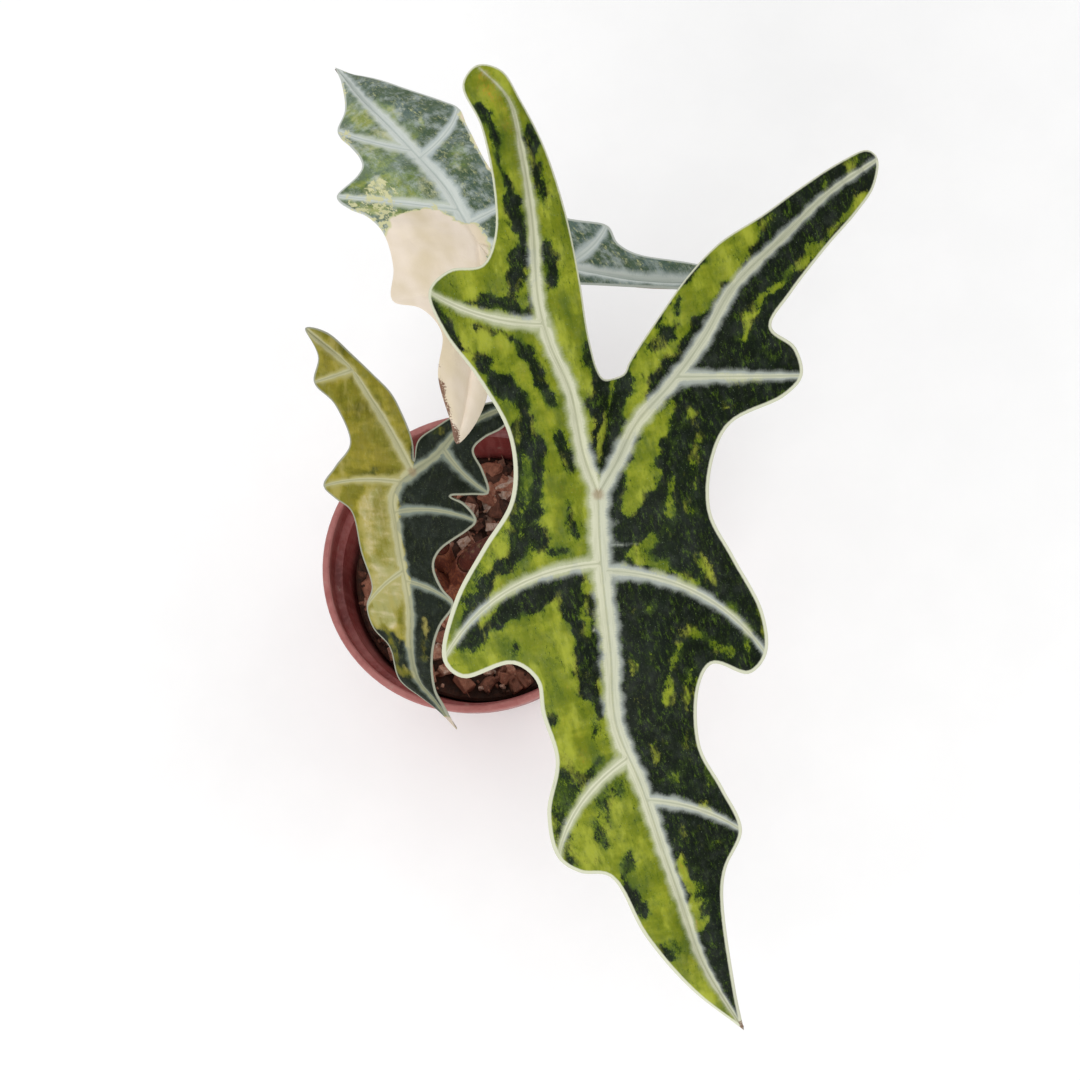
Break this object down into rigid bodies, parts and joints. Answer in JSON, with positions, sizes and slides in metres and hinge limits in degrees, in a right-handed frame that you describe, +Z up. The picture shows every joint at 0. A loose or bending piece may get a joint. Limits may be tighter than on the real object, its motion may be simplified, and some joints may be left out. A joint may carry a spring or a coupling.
{
  "type": "potted plant",
  "caption": "Potted variegated alocasia with long lobed arrow-shaped leaves on arching stalks, standing in chunky potting mix in a tapered plastic nursery pot.",
  "frame": {"origin": "middle of the pot's flat underside, on the surface that it stands on", "axes": "+Z up along the pot's axis; -Y towards the plant's front, where the large blade hangs over the rim; +X to the right as seen from the front"},
  "size_m": [0.206, 0.3467, 0.332],
  "materials": {
    "pot_plastic": "satin, brick red, thin-walled",
    "potting_mix": "rough, damp bark and coir chips",
    "stem_base": "dull, maroon brown sheath",
    "petiole_front": "satin, mottled brown green",
    "petiole_back": "satin, mottled brown green",
    "petiole_low": "satin, mottled brown green",
    "blade_front": "satin, lime and dark green variegation with pale veins",
    "blade_back": "satin, grey green and cream variegation with pale veins",
    "blade_low": "satin, olive yellow and dark green variegation with pale veins"
  },
  "bodies": {
    "root": {"pot": "pot_plastic", "potting_mix": "potting_mix", "stem_base": "stem_base", "petiole_front": "petiole_front", "petiole_back": "petiole_back", "petiole_low": "petiole_low", "blade_front": "blade_front", "blade_back": "blade_back", "blade_low": "blade_low"}
  },
  "joints": []
}
